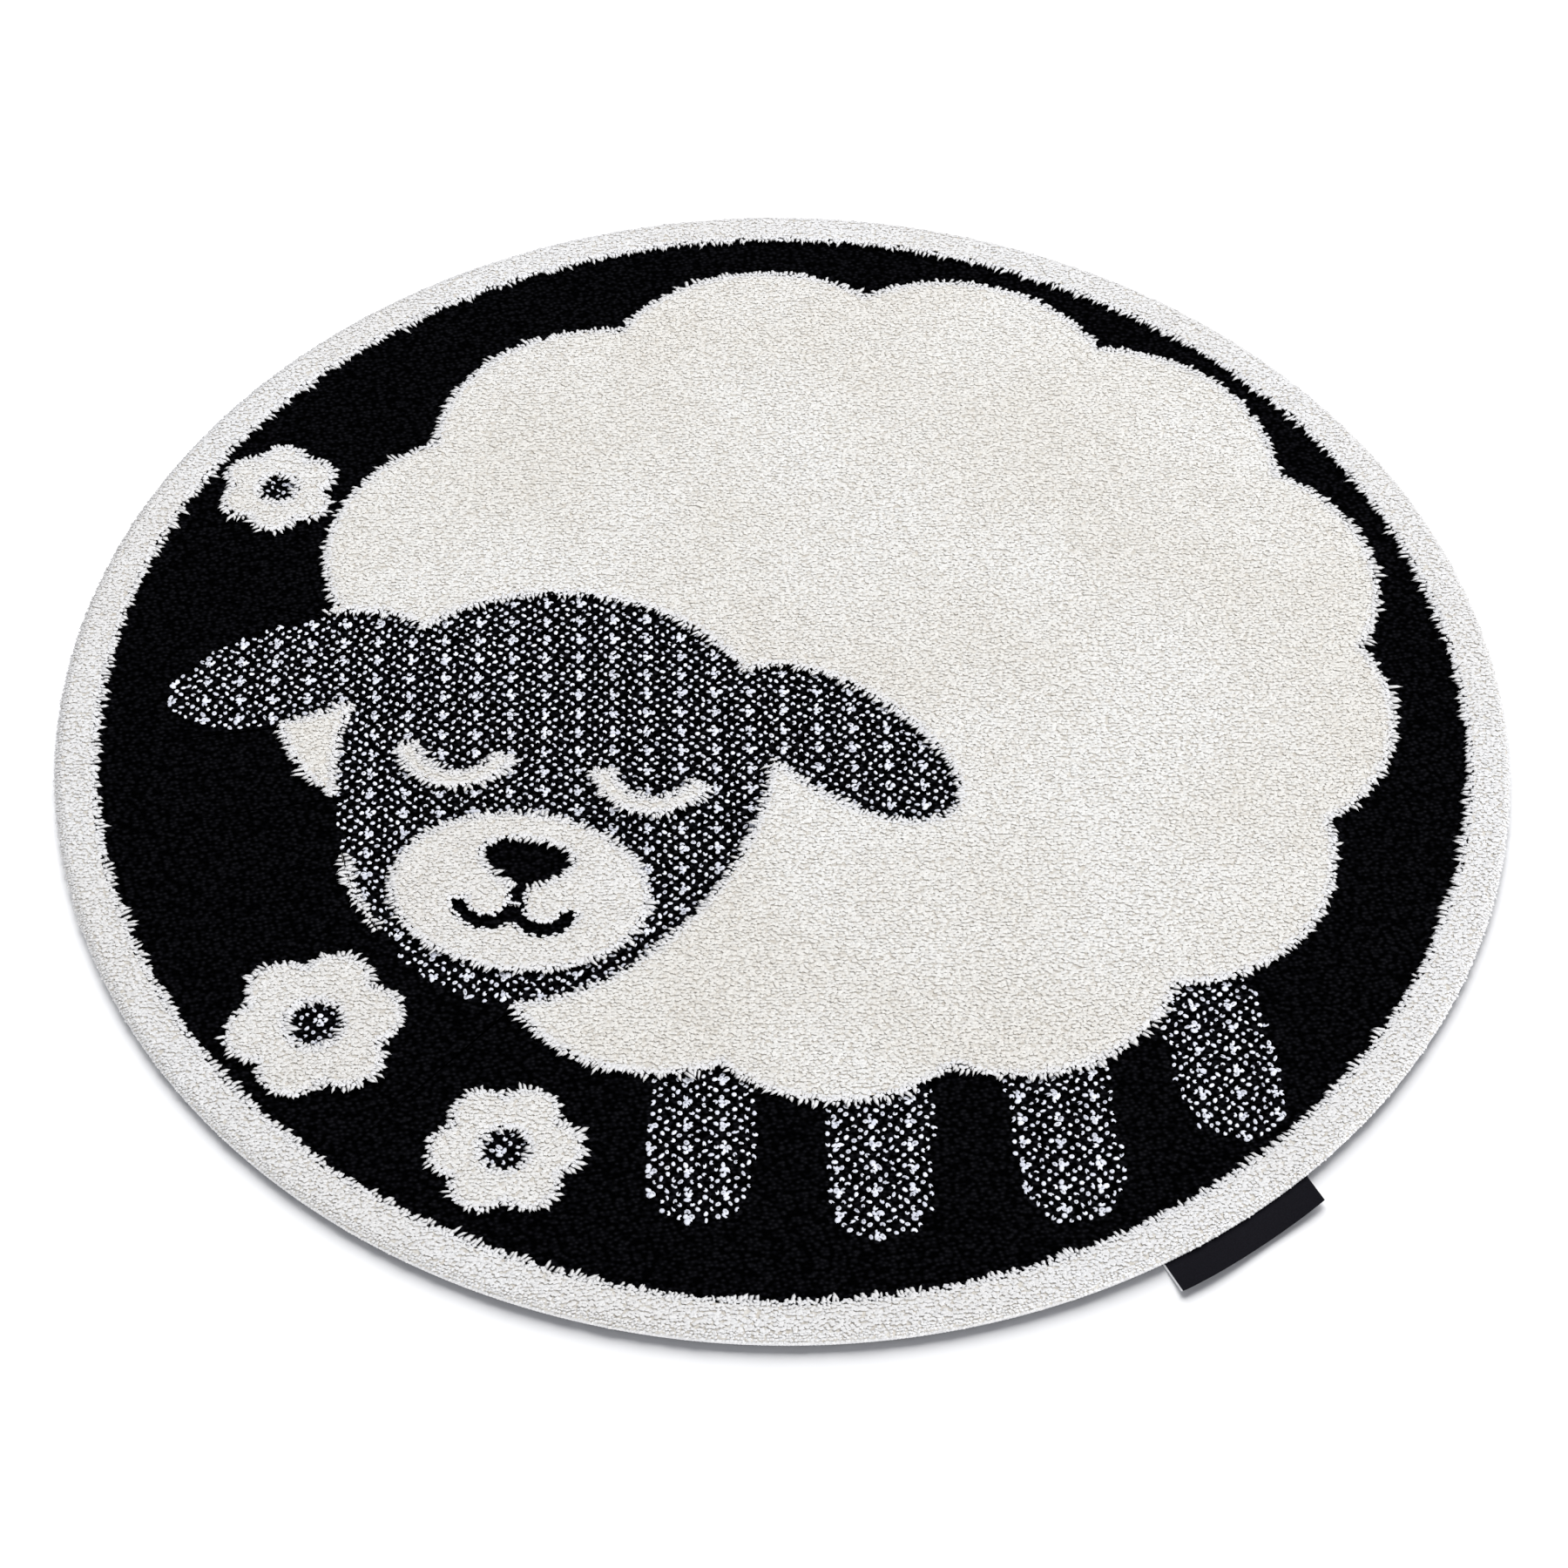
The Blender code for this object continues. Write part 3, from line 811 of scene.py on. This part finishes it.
def cloth_materials(mesh):
    """Black loops on the ground and the walls, the body on the raised zones, the backing below."""
    for material in (loop_ground(), pile_body_painted_shade(), backing()):
        mesh.materials.append(material)
    body, below = 1, 2
    for face in mesh.polygons:
        heights = [mesh.vertices[v].co.z for v in face.vertices]
        at_rim = hypot(*face.center.xy) > RIM_FROM
        if (max(heights) if at_rim else min(heights)) > GROUND_TOP + SLACK:
            face.material_index = body
        elif min(heights) < GROUND_TOP - SLACK:
            face.material_index = below


def cloth():
    """The woven cloth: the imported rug's own form, its raised zones made the body of the pile."""
    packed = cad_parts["rug"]
    shape = bmesh.new()
    shape.from_mesh(packed.data)
    shape.transform(packed.matrix_world)
    bmesh.ops.remove_doubles(shape, verts=shape.verts, dist=1e-6)
    shape.normal_update()
    make_body(shape)
    mesh = bpy.data.meshes.new("woven_cloth")
    shape.to_mesh(mesh)
    shape.free()
    cloth_materials(mesh)
    mesh.shade_flat()
    return add("woven_cloth", mesh)


def binding():
    """The overlocked edge: yarn wraps lie side by side round the cut edge, each a slanted rib."""
    stitches = round(2 * pi * RUG_RADIUS / STITCH_PITCH)
    steps = stitches * STITCH_STEPS
    sides = len(SECTION_TURNS)
    inner = EDGE_RADIUS + SEWING_GAP
    half_width = (RUG_RADIUS - inner) / 2
    section = np.radians(SECTION_TURNS)
    step = np.arange(steps)[:, None]
    slant = np.linspace(0, STITCH_SLANT, sides)
    swell = 1 + STITCH_SWELL * np.cos(2 * pi * step / STITCH_STEPS + slant * pi)
    r = inner + half_width + np.cos(section) * swell * half_width
    z = np.maximum(BINDING_HEIGHT / 2 * (1 + np.sin(section) * swell), BINDING_CLEAR)
    a = step * 2 * pi / steps
    verts = np.stack([r * np.cos(a), r * np.sin(a), z], -1).reshape(-1, 3)

    i, j = np.meshgrid(np.arange(steps), np.arange(sides), indexing="ij")
    i2, j2 = (i + 1) % steps, (j + 1) % sides
    corners = [i * sides + j, i2 * sides + j, i2 * sides + j2, i * sides + j2]
    return mesh_object("binding_stitches", verts, np.stack(corners, -1).reshape(-1, 4))


def ribbon_form():
    """The upper and the lower points of the ribbon, which bends along the edge and lifts a little."""
    along, across = LABEL_STEPS
    angles, shares = np.linspace(LABEL_FROM, LABEL_TO, along + 1), np.linspace(0, 1, across + 1)
    a, s = np.meshgrid(angles, shares, indexing="ij")
    t = (a - LABEL_FROM) / (LABEL_TO - LABEL_FROM)
    reach = LABEL_REACH - LABEL_NARROWS * t
    run = s * (LABEL_TUCK + reach) - LABEL_TUCK
    free = np.clip(run / reach, 0, 1)
    uneven = 0.9 + 0.2 * np.sin(2.2 * pi * t + 0.6)
    lift = LABEL_LIFT * free**1.3 * uneven
    x = RUG_RADIUS * np.cos(a) + run * cos(LABEL_WAY)
    y = RUG_RADIUS * np.sin(a) + run * sin(LABEL_WAY)
    y -= lift / tan(ELEVATION)  # so that the lift doesn't move it in the camera's view
    upper = np.stack([x, y, LABEL_THICKNESS + lift], -1)
    lower = np.stack([x - LABEL_FRAY * (t == 0), y, LABEL_CLEAR + lift], -1)
    return upper, lower


def label():
    """The ribbon label, black above. Its white reverse shows at its frayed left end."""
    upper, lower = ribbon_form()
    verts = np.concatenate([upper.reshape(-1, 3), lower.reshape(-1, 3)])
    count = len(verts) // 2
    grid = np.arange(count).reshape(upper.shape[:2])
    corners = [grid[:-1, 1:], grid[1:, 1:], grid[1:, :-1], grid[:-1, :-1]]
    top = np.stack(corners, -1).reshape(-1, 4)
    bottom = top[:, ::-1] + count
    rim = np.concatenate([grid[:, 0], grid[-1, 1:], grid[-2::-1, -1], grid[0, -2:0:-1]])
    after = np.roll(rim, -1)
    sides = np.stack([rim + count, after + count, after, rim], -1)
    piece = mesh_object("label_ribbon", verts, np.concatenate([top, bottom, sides]), smooth=False)

    piece.data.materials.append(ribbon())
    piece.data.materials.append(ribbon_reverse())
    black, white = 0, 1
    slots = np.repeat([black, white, black], [len(top), len(bottom), len(sides)])
    left_end = LABEL_STEPS[1]  # so many faces, the last ones
    slots[-left_end:] = white
    piece.data.polygons.foreach_set("material_index", slots.astype(np.int32))
    return piece


# ---- materials ------------------------------------------------------------------------------


def new_material(name, roughness, specular=0.1):
    """A material, its node tree and its shader."""
    material = bpy.data.materials.new(name)
    material.use_nodes = True
    tree = material.node_tree
    shader = tree.nodes["Principled BSDF"]
    shader.inputs["Roughness"].default_value = roughness
    shader.inputs["Specular IOR Level"].default_value = specular
    return material, tree, shader


def node(tree, kind, **inputs):
    """A new node with the values of some of its sockets."""
    made = tree.nodes.new(kind)
    for name, value in inputs.items():
        made.inputs[name.replace("_", " ")].default_value = value
    return made


def ramp(tree, source, stops):
    """A colour for each value of the source, from stops of (value, colour)."""
    made = tree.nodes.new("ShaderNodeValToRGB")
    elements = made.color_ramp.elements
    while len(elements) < len(stops):
        elements.new(0.5)
    for element, (value, colour) in zip(elements, stops, strict=True):
        element.position = value
        element.color = (*colour, 1.0)
    tree.links.new(source, made.inputs["Fac"])
    return made.outputs["Color"]


def told(tree, name):
    """What tell() has stored on the piece."""
    made = tree.nodes.new("ShaderNodeAttribute")
    made.attribute_name = name
    return made.outputs["Fac"]


def place(tree):
    """The place on the object."""
    return tree.nodes.new("ShaderNodeTexCoord").outputs["Object"]


def noise(tree, scale, detail=2.0):
    """Soft noise, from 0 to 1."""
    made = node(tree, "ShaderNodeTexNoise", Scale=scale, Detail=detail)
    tree.links.new(place(tree), made.inputs["Vector"])
    return made.outputs["Fac"]


def mixed(tree, kind, share, first, second):
    """A mix of two colours. The share and the colours may be sockets or values."""
    made = tree.nodes.new("ShaderNodeMix")
    made.data_type = "RGBA"
    made.blend_type = kind
    colours = [socket for socket in made.inputs if socket.type == "RGBA"]
    for socket, value in zip((made.inputs[0], *colours), (share, first, second), strict=True):
        if isinstance(value, bpy.types.NodeSocket):
            tree.links.new(value, socket)
        elif isinstance(value, tuple):
            socket.default_value = (*value, 1.0)
        else:
            socket.default_value = value
    return next(socket for socket in made.outputs if socket.type == "RGBA")


def bump(tree, shader, height, strength, distance):
    """Makes the shader's surface look as if it rose with the height."""
    made = node(tree, "ShaderNodeBump", Strength=strength, Distance=distance)
    tree.links.new(height, made.inputs["Height"])
    tree.links.new(made.outputs["Normal"], shader.inputs["Normal"])


def flecked(tree, shader, dull, bright, scale, detail=2.0):
    """Gives the shader a colour that varies softly between two."""
    tone = ramp(tree, noise(tree, scale, detail), [(0.3, dull), (0.7, bright)])
    tree.links.new(tone, shader.inputs["Base Color"])


def cut_pile_yarn():
    """Cream twisted yarn: each tuft has its own tone. Painted shade darkens it to beige down in the
    pile, and painted side light tints it bluish white at the zones' edges.
    """
    material, tree, shader = new_material("cut_pile_yarn", roughness=0.95)
    tone = ramp(tree, told(tree, "tone"), [(0.0, CREAM_WARM), (0.3, CREAM), (1.0, CREAM_PALE)])
    broad = ramp(tree, noise(tree, scale=5.0, detail=3.0), [(0.38, CREAM_PATCH), (0.62, WHITE)])
    colour = mixed(tree, "MULTIPLY", 1.0, tone, broad)
    # painted side light: bluish white by the rim share
    colour = mixed(tree, "MIX", told(tree, "rim"), colour, PAINTED_EDGE_LIGHT)
    # painted shade: darker beige towards the foot of each tuft and lock
    depth = ramp(tree, told(tree, "height"), [(0.2, PAINTED_FOOT_SHADE), (0.8, WHITE)])
    colour = mixed(tree, "MULTIPLY", 1.0, colour, depth)
    tree.links.new(colour, shader.inputs["Base Color"])
    bump(tree, shader, noise(tree, scale=1600.0), strength=0.4, distance=0.2 * MM)
    return material


def loop_yarn():
    """White loops, some open in the middle so that the black shows."""
    material, tree, shader = new_material("speckle_yarn", roughness=0.9)
    tone = ramp(tree, told(tree, "tone"), [(0.0, LOOP_DULL), (1.0, LOOP_BRIGHT)])
    colour = mixed(tree, "MIX", told(tree, "pit"), tone, LOOP_MIDDLE)
    tree.links.new(colour, shader.inputs["Base Color"])
    return material


def loop_ground():
    """Black low loops in slanting rows, with painted light on their crowns and painted shade down to
    the gaps between them.
    """
    material, tree, shader = new_material("black_loops", roughness=0.8, specular=0.008)
    across, deep = BLACK_PITCHES
    scaled = tree.nodes.new("ShaderNodeMapping")
    scaled.inputs["Rotation"].default_value = (0.0, 0.0, BLACK_SLANT)
    scaled.inputs["Scale"].default_value = (MM / across, MM / deep, MM / deep)
    tree.links.new(place(tree), scaled.inputs["Vector"])
    cells = node(tree, "ShaderNodeTexVoronoi", Scale=1 / MM, Randomness=0.7)
    cells.feature = "SMOOTH_F1"
    tree.links.new(scaled.outputs["Vector"], cells.inputs["Vector"])
    # painted light on each loop's crown, painted shade down its sides into the gaps
    stops = [(0.05, BLACK_CROWN_LIT), (0.30, BLACK_SIDE_SHADE), (0.5, BLACK_GAP_SHADE)]
    tone = ramp(tree, cells.outputs["Distance"], stops)
    tree.links.new(tone, shader.inputs["Base Color"])
    flip = tree.nodes.new("ShaderNodeMath")
    flip.operation = "SUBTRACT"
    flip.inputs[0].default_value = 1.0
    tree.links.new(cells.outputs["Distance"], flip.inputs[1])
    bump(tree, shader, flip.outputs["Value"], strength=0.9, distance=1.2 * MM)
    return material


def pile_body_painted_shade():
    """Beige yarn down in the pile, coloured darker than the tufts as painted shade between them."""
    material, tree, shader = new_material("pile_body_painted_shade", roughness=0.95, specular=0.0)
    flecked(tree, shader, BODY_SHADE_DARK, BODY_SHADE_PALE, scale=350.0)
    return material


def backing():
    """The underside: undyed jute and cotton, woven plain."""
    material, tree, shader = new_material("woven_backing", roughness=0.9)
    flecked(tree, shader, BACKING_DARK, BACKING_PALE, scale=260.0, detail=3.0)
    rows = node(tree, "ShaderNodeTexWave", Scale=95.0, Distortion=1.5)
    rows.bands_direction = "Y"
    tree.links.new(place(tree), rows.inputs["Vector"])
    bump(tree, shader, rows.outputs["Fac"], strength=0.6, distance=0.5 * MM)
    return material


def binding_yarn():
    """White overlock yarn."""
    material, tree, shader = new_material("binding_yarn", roughness=0.85)
    flecked(tree, shader, BINDING_DULL, BINDING_BRIGHT, scale=500.0)
    bump(tree, shader, noise(tree, scale=1500.0), strength=0.5, distance=0.3 * MM)
    return material


def ribbon():
    """Black satin with a fine grain."""
    material, tree, shader = new_material("label_satin", roughness=0.6, specular=0.05)
    flecked(tree, shader, SATIN_DARK, SATIN_PALE, scale=900.0)
    bump(tree, shader, noise(tree, scale=2200.0), strength=0.25, distance=0.15 * MM)
    return material


def ribbon_reverse():
    """The ribbon's white reverse."""
    material, tree, shader = new_material("label_reverse", roughness=0.7)
    flecked(tree, shader, REVERSE_DULL, REVERSE_BRIGHT, scale=900.0)
    return material


# ---- stage ----------------------------------------------------------------------------------


def floor():
    """A pale ground far larger than the view."""
    half, low = FLOOR_HALF, -FLOOR_BELOW
    corners = [(-half, -half, low), (half, -half, low), (half, half, low), (-half, half, low)]
    piece = mesh_object("floor", np.array(corners), np.array([[0, 1, 2, 3]]), smooth=False)
    material, _, shader = new_material("floor_white", roughness=0.9, specular=0.0)
    shader.inputs["Base Color"].default_value = FLOOR_COLOUR
    piece.data.materials.append(material)
    return piece


def camera():
    """The camera that took the photograph, as far as the rug's edge tells."""
    a, e, r = AZIMUTH, ELEVATION, ROLL
    back = Vector((sin(a) * cos(e), -cos(a) * cos(e), sin(e)))
    right = Vector((cos(a), sin(a), 0.0))
    up = back.cross(right)
    turned_right = cos(r) * right + sin(r) * up
    turned_up = -sin(r) * right + cos(r) * up
    turn = Matrix((turned_right, turned_up, back)).transposed().to_4x4()
    data = bpy.data.cameras.new("camera")
    data.lens = LENS
    data.sensor_width = SENSOR
    data.clip_start = CLIP_START
    data.clip_end = CLIP_END
    made = add("camera", data)
    made.matrix_world = Matrix.Translation(AIM + back * DISTANCE) @ turn
    bpy.context.scene.camera = made


def lamp(name, kind, way, strength):
    """A light that stands this way from the rug and shines towards it."""
    data = bpy.data.lights.new(name, kind)
    data.energy = strength
    made = add(name, data)
    made.rotation_euler = Vector(way).to_track_quat("Z", "Y").to_euler()
    return made


def sun(name, way, angle, strength):
    """A sun. The larger its angle, the softer its shadow."""
    made = lamp(name, "SUN", way, strength)
    made.data.angle = angle
    return made


def softbox(name, way, distance, width, strength):
    """A round soft light whose strength on the rug is as a sun's, falling off across it a little."""
    made = lamp(name, "AREA", way, strength * pi * distance**2)
    made.data.shape = "DISK"
    made.data.size = width
    made.location = Vector(way).normalized() * distance
    return made


def light_only(title, lit, lamps):
    """Lets these lamps light nothing but these pieces."""
    group = bpy.data.collections.new(title)
    for piece in lit:
        group.objects.link(piece)
    for one in lamps:
        one.light_linking.receiver_collection = group


def studio():
    """Even light from all round. The camera sees pure white beyond the floor."""
    world = bpy.data.worlds.new("studio")
    world.use_nodes = True
    tree = world.node_tree
    room = tree.nodes["Background"]
    room.inputs["Color"].default_value = ROOM_COLOUR
    room.inputs["Strength"].default_value = ROOM_STRENGTH
    seen = node(tree, "ShaderNodeBackground", Color=(*WHITE, 1.0))
    choice = tree.nodes.new("ShaderNodeMixShader")
    rays = tree.nodes.new("ShaderNodeLightPath")
    tree.links.new(rays.outputs["Is Camera Ray"], choice.inputs["Fac"])
    tree.links.new(room.outputs["Background"], choice.inputs[1])
    tree.links.new(seen.outputs["Background"], choice.inputs[2])
    tree.links.new(choice.outputs["Shader"], tree.nodes["World Output"].inputs["Surface"])
    bpy.context.scene.world = world


def lighting(pieces, ground):
    """On the rug a broad key from above and a fill from the camera's side, and on the floor two
    lower lights from behind, which lay the rug's soft shadow in front of it."""
    studio()
    key = softbox("key", KEY_WAY, KEY_DISTANCE, KEY_WIDTH, KEY_STRENGTH)
    fill = sun("fill", FILL_WAY, FILL_ANGLE, FILL_STRENGTH)
    fill.data.cycles.max_bounces = 0  # so that tufts don't pass it on into the gaps
    names = ("low_left", "low_right")
    low = [sun(name, way, LOW_ANGLE, LOW_STRENGTH) for name, way in zip(names, LOW_WAYS, strict=True)]
    light_only("on_rug", pieces, (key, fill))
    light_only("on_floor", [ground], low)
    view = bpy.context.scene.view_settings
    view.view_transform = "Standard"
    view.look = "None"


# ---- everything together --------------------------------------------------------------------


def dress(piece, material):
    """The piece's material, unless it has its own, and its slot and body in the frame."""
    if material is not None:
        piece.data.materials.append(material)
    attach(piece, "root")


rng = np.random.default_rng(7)
base = cloth()
dress(base, None)
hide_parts("rug")

pile = cut_pile(rng)
yarn = cut_pile_yarn()
for piece in pile:
    dress(piece, yarn)
loops = speckle_loops(rng)
dress(loops, loop_yarn())

edge = binding()
dress(edge, binding_yarn())
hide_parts("edge_binding")
tab = label()
dress(tab, None)
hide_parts("label")

camera()
lighting([base, *pile, loops, edge, tab], floor())
